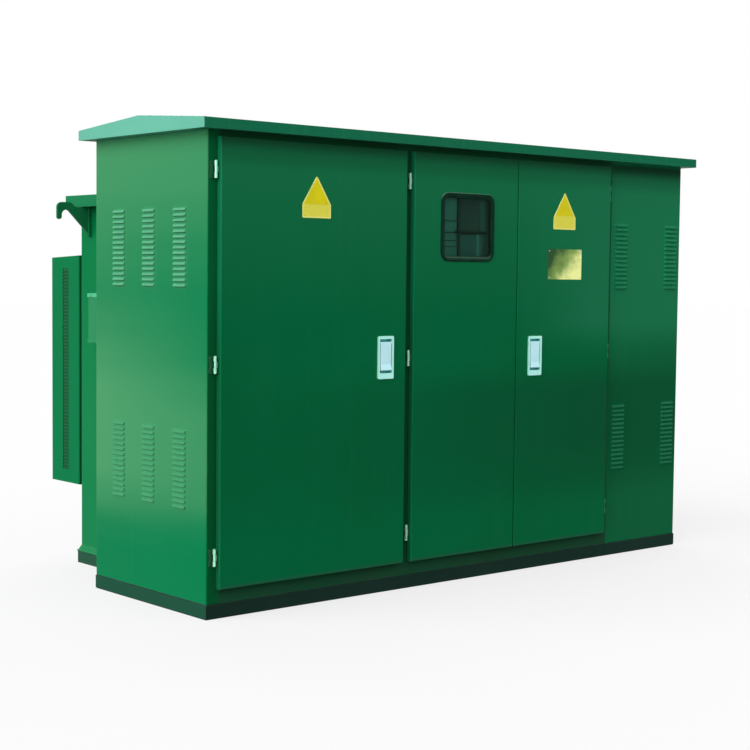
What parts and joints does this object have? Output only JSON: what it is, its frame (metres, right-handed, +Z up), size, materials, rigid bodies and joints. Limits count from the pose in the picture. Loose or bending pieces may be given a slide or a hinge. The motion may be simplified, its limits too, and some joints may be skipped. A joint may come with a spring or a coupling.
{
  "type": "compact substation",
  "caption": "Compact pad-mounted substation: louvred steel cabinet with hinged doors and a window, joined to a sealed transformer tank with lifting hooks and fin radiators.",
  "frame": {"origin": "on the ground, in the middle of the overall width and depth", "axes": "+X to the right of someone who faces the doors, +Y to the rear, +Z up"},
  "size_m": [3.13, 1.8, 2.0785],
  "materials": {
    "green_paint": "semi-gloss green paint",
    "tank_paint": "glossy green paint",
    "gable_paint": "pale green paint",
    "plinth_paint": "black paint",
    "hinge_steel": "satin",
    "handle_chrome": "satin chrome plate",
    "black_rubber": "matt",
    "clear_glass": "polished, tinted"
  },
  "bodies": {
    "cabinet": {"plinth_front": "plinth_paint", "plinth_rear": "plinth_paint", "plinth_sides": "plinth_paint", "sill": "green_paint", "head_rail": "green_paint", "left_wall": "green_paint", "centre_post": "green_paint", "right_post": "green_paint", "front_panel": "green_paint", "right_wall": "green_paint", "rear_wall": "green_paint", "roof_front": "green_paint", "roof_rear": "green_paint", "gable_left": "gable_paint", "gable_right": "gable_paint", "hinge_leaves_1": "hinge_steel", "hinge_leaves_2": "hinge_steel", "hinge_leaves_3": "hinge_steel", "tank_walls": "tank_paint", "tank_cover": "tank_paint", "tank_base": "plinth_paint", "radiator_1": "tank_paint", "radiator_2": "tank_paint", "radiator_3": "tank_paint", "radiator_4": "tank_paint", "guard_left": "tank_paint", "guard_right": "tank_paint", "hooks_left": "tank_paint", "hooks_right": "tank_paint", "junction_box": "green_paint"},
    "door_1": {"door_1": "green_paint", "stiffeners_1": "green_paint", "hinge_arms_1": "hinge_steel", "handle_1": "handle_chrome"},
    "paddle_1": {"paddle_1": "handle_chrome"},
    "door_2": {"door_2": "green_paint", "stiffeners_2": "green_paint", "hinge_arms_2": "hinge_steel", "window_surround": "black_rubber", "window_glass": "clear_glass"},
    "door_3": {"door_3": "green_paint", "stiffeners_3": "green_paint", "hinge_arms_3": "hinge_steel", "handle_3": "handle_chrome"},
    "paddle_3": {"paddle_3": "handle_chrome"}
  },
  "joints": [
    {"name": "door_1_hinge", "type": "hinge", "parent": "cabinet", "child": "door_1", "pos_m": [-1.477, -0.859, 1.049], "axis": [0, 0, -1], "range_deg": [0, 105]},
    {"name": "door_2_hinge", "type": "hinge", "parent": "cabinet", "child": "door_2", "pos_m": [-0.422, -0.859, 1.049], "axis": [0, 0, -1], "range_deg": [0, 105]},
    {"name": "door_3_hinge", "type": "hinge", "parent": "cabinet", "child": "door_3", "pos_m": [0.928, -0.859, 1.049], "axis": [0, 0, 1], "range_deg": [0, 105]},
    {"name": "paddle_1_pivot", "type": "hinge", "parent": "door_1", "child": "paddle_1", "pos_m": [-0.577, -0.876, 1.12075], "axis": [-1, 0, 0], "range_deg": [0, 35]},
    {"name": "paddle_3_pivot", "type": "hinge", "parent": "door_3", "child": "paddle_3", "pos_m": [0.378, -0.876, 1.10475], "axis": [-1, 0, 0], "range_deg": [0, 35]}
  ]
}
